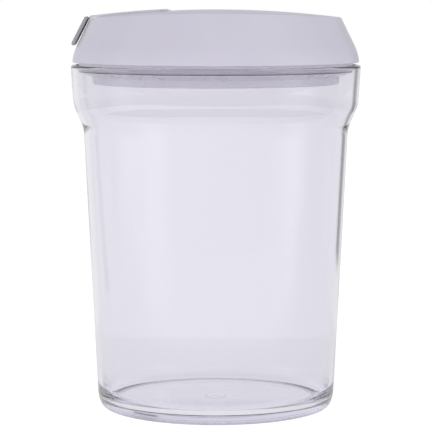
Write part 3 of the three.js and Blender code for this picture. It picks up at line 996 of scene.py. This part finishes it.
def tab_section(width, thick, edge):
    """Across the leaf: a rectangle of half sides width and thick, with round corners."""
    ring = []
    for sx, sy, start in ((1, 1, 0), (-1, 1, 90), (-1, -1, 180), (1, -1, 270)):
        for k in range(4):
            angle = math.radians(start + 30 * k)
            y = sx * (width - edge) + edge * math.cos(angle)
            n = sy * (thick - edge) + edge * math.sin(angle)
            ring.append((y, n))
    return ring


# ---- materials ----


class Graph:
    """A node tree, with short calls for the nodes that values pass through."""

    def __init__(self, tree):
        self.tree = tree

    def add(self, kind, inputs=None, **settings):
        """A new node with these settings, whose inputs are fed by name or number."""
        node = self.tree.nodes.new(kind)
        for key, value in settings.items():
            setattr(node, key, value)
        for name, value in (inputs or {}).items():
            self.feed(node.inputs[name], value)
        return node

    def feed(self, socket, value):
        """Links an input to another node's output, or sets it to a number, a vector or a colour."""
        if isinstance(value, bpy.types.NodeSocket):
            self.tree.links.new(value, socket)
        elif socket.type == "RGBA":
            socket.default_value = (*value, 1)
        else:
            socket.default_value = value

    def math(self, operation, a, b=0.0):
        """A math node's result, where a and b are numbers or sockets."""
        return self.add("ShaderNodeMath", {0: a, 1: b}, operation=operation).outputs["Value"]

    def spread(self, value, low, high, to_low, to_high, **settings):
        """The value, mapped from low..high to to_low..to_high and clamped."""
        ends = {"Value": value, "From Min": low, "From Max": high, "To Min": to_low, "To Max": to_high}
        return self.add("ShaderNodeMapRange", ends, **settings).outputs["Result"]


class Nodes(Graph):
    """A material's node tree, with the patterns that the materials are made of."""

    def __init__(self, name):
        self.material = bpy.data.materials.new(name)
        self.material.use_nodes = True
        super().__init__(self.material.node_tree)
        self.shader = self.tree.nodes["Principled BSDF"]
        self.output = self.tree.nodes["Material Output"]
        self.place = self.add("ShaderNodeTexCoord").outputs["Object"]

    def set(self, name, value):
        """Sets or links one of the shader's inputs."""
        self.feed(self.shader.inputs[name], value)

    def noise(self, scale, detail=3.0, roughness=0.55, stretch=None):
        place = self.place
        if stretch:
            place = self.add("ShaderNodeMapping", {"Vector": place, "Scale": stretch}).outputs["Vector"]
        inputs = {"Vector": place, "Scale": scale, "Detail": detail, "Roughness": roughness}
        return self.add("ShaderNodeTexNoise", inputs).outputs["Fac"]

    def mix(self, factor, a, b):
        """A colour between a and b."""
        return self.add("ShaderNodeMix", {"Factor": factor, 6: a, 7: b}, data_type="RGBA").outputs[2]

    def bump(self, height, distance, strength=1.0, normal=None):
        node = self.add("ShaderNodeBump", {"Height": height, "Distance": distance, "Strength": strength})
        if normal is not None:
            self.feed(node.inputs["Normal"], normal)
        return node.outputs["Normal"]

    def edges(self, low, high):
        """1 on outer edges and 0 on flat and hollow places, from the mesh's own bend."""
        geometry = self.add("ShaderNodeNewGeometry")
        return self.spread(geometry.outputs["Pointiness"], low, high, 0.0, 1.0)

    def height(self):
        return self.add("ShaderNodeSeparateXYZ", {"Vector": self.place}).outputs["Z"]


def clear_plastic():
    """Clear moulded plastic: faint flow waviness, a whisper of haze, and rubbed marks on the foot."""
    nodes = Nodes("clear_plastic")
    nodes.set("Base Color", (0.955, 0.945, 0.998))
    nodes.set("Transmission Weight", 1.0)
    nodes.set("IOR", 1.56)
    haze = nodes.spread(nodes.noise(90, 4), 0.35, 0.75, 0.0, 0.02)
    foot = nodes.spread(nodes.height(), 0.0005, 0.003, 0.25, 0.0)
    scuffs = nodes.spread(nodes.noise(900, 2, stretch=(1, 1, 0.2)), 0.5, 0.62, 0.0, 1.0)
    wear_and_painted_highlight = nodes.math("MULTIPLY", foot, scuffs)
    nodes.set("Roughness", nodes.math("ADD", haze, wear_and_painted_highlight))
    flow = nodes.noise(22, 2, 0.4, stretch=(1, 1, 0.45))
    nodes.set("Normal", nodes.bump(flow, 0.00006))
    absorb = nodes.add("ShaderNodeVolumeAbsorption", {"Color": (0.62, 0.58, 0.9), "Density": 3.2})
    nodes.feed(nodes.output.inputs["Volume"], absorb.outputs["Volume"])
    return nodes.material


def lid_plastic():
    """Satin moulded plastic with a fine spark grain and slight mottling. Its polished edges are paler: partly
    wear, partly a painted highlight.
    """
    nodes = Nodes("lid_plastic")
    mottle = nodes.noise(28, 3)
    base = nodes.mix(nodes.spread(mottle, 0.3, 0.7, 0, 1), (0.60, 0.575, 0.68), (0.63, 0.605, 0.71))
    speckle = nodes.spread(nodes.noise(2600, 2), 0.35, 0.65, 0, 0.15)
    grained = nodes.mix(speckle, base, (0.57, 0.55, 0.65))
    # Paler edges: partly wear, partly a painted highlight where the rounded edges would catch the light.
    edge = nodes.edges(0.52, 0.58)
    wear_and_painted_highlight = nodes.mix(nodes.math("MULTIPLY", edge, 0.8), grained, (0.82, 0.80, 0.88))
    nodes.set("Base Color", wear_and_painted_highlight)
    rough = nodes.spread(nodes.noise(160, 4), 0.3, 0.7, 0.30, 0.35)
    polish = nodes.math("MULTIPLY", edge, 0.08)
    nodes.set("Roughness", nodes.math("SUBTRACT", rough, polish))
    grain = nodes.bump(nodes.noise(3200, 2), 0.00002, 0.5)
    nodes.set("Normal", nodes.bump(nodes.noise(60, 2), 0.00003, 0.4, grain))
    nodes.set("IOR", 1.49)
    nodes.set("Specular IOR Level", 0.35)
    return nodes.material


def liner_plastic():
    """Semi-gloss plastic with faint flow marks that run round the plug. Its tone is paler than the cap's:
    painted light that makes up for the light the plug loses behind the clear wall.
    """
    nodes = Nodes("liner_plastic")
    flow = nodes.noise(40, 3, stretch=(0.6, 0.6, 2.5))
    # The paler tone is painted light, a lighter copy of the cap's plastic for the plug behind the glass.
    base = nodes.mix(nodes.spread(flow, 0.3, 0.7, 0, 1), (0.88, 0.85, 0.94), (0.92, 0.89, 0.96))
    edge = nodes.edges(0.54, 0.62)
    wear_and_painted_highlight = nodes.mix(nodes.math("MULTIPLY", edge, 0.5), base, (0.94, 0.92, 0.97))
    nodes.set("Base Color", wear_and_painted_highlight)
    nodes.set("Roughness", nodes.spread(nodes.noise(140, 4), 0.3, 0.7, 0.24, 0.34))
    fine = nodes.bump(nodes.noise(1800, 2), 0.00001, 0.4)
    nodes.set("Normal", nodes.bump(flow, 0.00006, 0.5, fine))
    nodes.set("IOR", 1.49)
    return nodes.material


def seal_silicone():
    """Matte grey silicone with a dusty bloom and a soft sheen."""
    nodes = Nodes("seal_silicone")
    bloom = nodes.spread(nodes.noise(70, 4), 0.35, 0.7, 0, 1)
    nodes.set("Base Color", nodes.mix(bloom, (0.60, 0.56, 0.66), (0.66, 0.62, 0.72)))
    nodes.set("Roughness", nodes.spread(nodes.noise(220, 3), 0.3, 0.7, 0.5, 0.64))
    nodes.set("Normal", nodes.bump(nodes.noise(1500, 3), 0.00003, 0.6))
    nodes.set("IOR", 1.41)
    nodes.set("Sheen Weight", 0.15)
    return nodes.material


def tab_plastic():
    """Soft-touch grey plastic with a fine matt grain, rubbed a little paler along its edges."""
    nodes = Nodes("tab_plastic")
    mottle = nodes.spread(nodes.noise(120, 3), 0.3, 0.7, 0, 1)
    base = nodes.mix(mottle, (0.34, 0.335, 0.36), (0.37, 0.365, 0.39))
    edge = nodes.edges(0.51, 0.6)
    wear_and_painted_highlight = nodes.mix(nodes.math("MULTIPLY", edge, 0.5), base, (0.46, 0.455, 0.49))
    nodes.set("Base Color", wear_and_painted_highlight)
    nodes.set("Roughness", nodes.spread(nodes.noise(300, 3), 0.3, 0.7, 0.44, 0.56))
    nodes.set("Normal", nodes.bump(nodes.noise(2800, 2), 0.00003, 0.6))
    return nodes.material


def pin_steel():
    """Drawn steel wire, with fine marks along its length."""
    nodes = Nodes("pin_steel")
    marks = nodes.noise(4000, 3, stretch=(1, 0.02, 1))
    nodes.set("Base Color", nodes.mix(marks, (0.52, 0.52, 0.54), (0.66, 0.66, 0.68)))
    nodes.set("Roughness", nodes.spread(marks, 0.3, 0.7, 0.2, 0.34))
    nodes.set("Normal", nodes.bump(marks, 0.00001, 0.6))
    nodes.set("Metallic", 1.0)
    return nodes.material


# ---- assembly ----


def fit(piece, node, body, material):
    """Puts a finished piece in the place of its CAD node."""
    piece.data.materials.clear()
    piece.data.materials.append(material)
    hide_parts(node)
    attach(piece, body)


def build_object():
    clear, lid, liner, seal = clear_plastic(), lid_plastic(), liner_plastic(), seal_silicone()
    fit(make_container(), "container", "container", clear)
    fit(make_lid_shell(), "lid_shell", "lid", lid)
    fit(make_liner(), "lid_liner", "lid", liner)
    fit(make_rim_seal(), "rim_seal", "lid", seal)
    fit(make_hinge_pin(), "hinge_pin", "lid", pin_steel())
    fit(make_flap(), "pour_flap", "flap", lid)
    fit(make_flap_plug(), "flap_plug", "flap", liner)
    fit(make_flap_seal(), "flap_seal", "flap", seal)
    fit(make_pull_tab(), "pull_tab", "flap", tab_plastic())


# ---- studio ----

CAMERA_DISTANCE = 1.09
CAMERA_HEIGHT = 0.206
CAMERA_LENS = 181.7
CAMERA_SENSOR = 36
CAMERA_RANGE = (0.01, 50)
CAMERA_AIM = Vector((0.0001, 0, 0.0957))

# The room as the object sees it. Bands are azimuths in degrees from the camera's side, positive towards +X,
# and pairs of tones go from the front of the room to its back
LEFT_LIGHT = (-93, -70)
RIGHT_LIGHT = (50, 74)
SIDE_LIGHT_SOFTNESS = 9
SIDE_LIGHT = 0.42
DARK_BAND = (145, 158)
DARK_BAND_SOFTNESS = 1.5
DARK_BAND_DEPTH = 0.65
WALL_TONES = (0.97, 0.755)
CEILING = 0.5
FILL_LIGHT = 0.5
FLOOR_DISC_R = 3.0
FLOOR_DISC_BOTTOM = -10 * MM
FLOOR_DISC_TOP = -0.2 * MM
FLOOR_DISC_EDGE = 0.5 * MM
FLOOR_TONES = (0.98, 0.69)
TABLE_EDGE_Y = 0.214
TABLE_EDGE_STEP = 0.05


def make_camera():
    camera = bpy.data.objects.new("camera", bpy.data.cameras.new("camera"))
    bpy.context.scene.collection.objects.link(camera)
    camera.data.sensor_width = CAMERA_SENSOR
    camera.data.lens = CAMERA_LENS
    camera.location = (0, -CAMERA_DISTANCE, CAMERA_HEIGHT)
    camera.rotation_euler = (CAMERA_AIM - camera.location).to_track_quat("-Z", "Y").to_euler()
    camera.data.clip_start, camera.data.clip_end = CAMERA_RANGE
    bpy.context.scene.camera = camera


class Room(Graph):
    """Strengths of the room's light, as values in a node tree, from a place in metres or a unit direction."""

    def __init__(self, tree, coordinates, centre_x=0.0):
        super().__init__(tree)
        self.x, self.y, self.z = self.add("ShaderNodeSeparateXYZ", {"Vector": coordinates}).outputs
        sideways = self.math("SUBTRACT", self.x, centre_x)
        self.azimuth = self.math("ARCTAN2", sideways, self.math("MULTIPLY", self.y, -1.0))

    def ramp(self, value, low, high, to_low, to_high):
        """The value mapped smoothly from low..high to to_low..to_high."""
        return self.spread(value, low, high, to_low, to_high, interpolation_type="SMOOTHSTEP")

    def band(self, limits, soft, strength):
        """The strength inside a band of azimuths and 0 outside it, with soft sides."""
        low, high = limits
        turned_to = self.math("DEGREES", self.azimuth)
        rise = self.ramp(turned_to, low - soft, low + soft, 0, 1)
        fall = self.ramp(turned_to, high - soft, high + soft, 1, 0)
        return self.math("MULTIPLY", self.math("MULTIPLY", rise, fall), strength)

    def side_lights(self):
        left = self.band(LEFT_LIGHT, SIDE_LIGHT_SOFTNESS, SIDE_LIGHT)
        return self.math("ADD", left, self.band(RIGHT_LIGHT, SIDE_LIGHT_SOFTNESS, SIDE_LIGHT))

    def darkened(self, tone, where):
        """The tone, less the dark band in the places where `where` is 1."""
        shadow = self.math("MULTIPLY", where, self.band(DARK_BAND, DARK_BAND_SOFTNESS, DARK_BAND_DEPTH))
        return self.math("MULTIPLY", tone, self.math("SUBTRACT", 1.0, shadow))

    def unless_seen_directly(self, tone):
        """The tone, or plain white where the camera sees it with nothing in between."""
        direct = self.add("ShaderNodeLightPath").outputs["Is Camera Ray"]
        return self.math("MAXIMUM", tone, direct)


def make_floor():
    """A wide white table that glows. The camera sees it as plain white, and the object sees it a little
    greyer, with painted light: pools of the side lights and a dark band behind the right edge.
    """
    edge, top = FLOOR_DISC_EDGE, FLOOR_DISC_TOP
    section = [(0, flat(FLOOR_DISC_BOTTOM)), (0, flat(top - edge)), (edge, flat(top))]
    floor = swept("studio_floor", circle_plan(FLOOR_DISC_R, 96), section)
    nodes = Nodes("studio_white")
    room = Room(nodes.tree, nodes.place)
    # The glow is painted light that stands in for the light the table would catch, brighter towards the
    # front.
    near = room.ramp(room.y, -0.3, 0.1, *FLOOR_TONES)
    step = room.ramp(room.y, TABLE_EDGE_Y - 0.01, TABLE_EDGE_Y + 0.01, 0.0, TABLE_EDGE_STEP)
    tone = room.math("MULTIPLY", room.math("ADD", near, step), room.ramp(room.x, -0.2, 0.2, 1.03, 0.97))
    # Painted pools of light where the side lights would fall on the table.
    sideways = room.ramp(room.math("ABSOLUTE", room.x), 0.15, 0.9, 0.0, 0.5)
    tone = room.math("ADD", tone, room.math("MULTIPLY", room.side_lights(), sideways))
    # A painted dark band on the table, behind the container's right edge.
    from_right_edge = Room(nodes.tree, nodes.place, RIM_R)
    tone = from_right_edge.darkened(tone, room.ramp(room.y, 0.38, 0.5, 0.0, 1.0))
    nodes.set("Emission Strength", room.unless_seen_directly(tone))
    nodes.set("Emission Color", (1, 1, 1))
    nodes.set("Base Color", (0.12, 0.12, 0.12))
    nodes.set("Roughness", 0.9)
    nodes.set("Specular IOR Level", 0.0)
    floor.data.materials.append(nodes.material)


def make_world():
    """A white room with a tall soft light on each side and a fill above the camera. Its ceiling is darker."""
    world = bpy.data.worlds.new("studio")
    bpy.context.scene.world = world
    world.use_nodes = True
    tree = world.node_tree
    room = Room(tree, tree.nodes.new("ShaderNodeTexCoord").outputs["Generated"])
    wall = room.ramp(room.y, -0.6, 0.8, *WALL_TONES)
    wall = room.math("MULTIPLY", wall, room.ramp(room.x, -0.5, 0.5, 1.03, 0.95))
    wall = room.darkened(wall, room.ramp(room.math("ABSOLUTE", room.z), 0.15, 0.3, 1.0, 0.0))
    wall = room.math("MULTIPLY", wall, room.ramp(room.z, 0.3, 0.9, 1.0, CEILING))
    lights = room.math("MULTIPLY", room.side_lights(), room.ramp(room.z, 0.7, 0.95, 1.0, 0.0))
    fill = room.ramp(room.z, 0.4, 0.7, 0.0, FILL_LIGHT)
    fill = room.math("MULTIPLY", fill, room.ramp(room.z, 0.8, 0.95, 1.0, 0.0))
    fill = room.math("MULTIPLY", fill, room.ramp(room.y, -0.7, 0.0, 1.0, 0.0))
    fill = room.math("MULTIPLY", fill, room.ramp(room.x, -0.6, 0.6, 0.5, 2.2))
    strength = room.math("ADD", room.math("ADD", wall, lights), fill)
    background = tree.nodes["Background"]
    room.feed(background.inputs["Color"], (1, 1, 1))
    room.feed(background.inputs["Strength"], room.unless_seen_directly(strength))


def build_studio():
    make_camera()
    make_floor()
    make_world()
    scene = bpy.context.scene
    scene.view_settings.view_transform = "Standard"
    scene.cycles.max_bounces = 24
    scene.cycles.glossy_bounces = 16
    scene.cycles.transmission_bounces = 20


build_studio()
build_object()
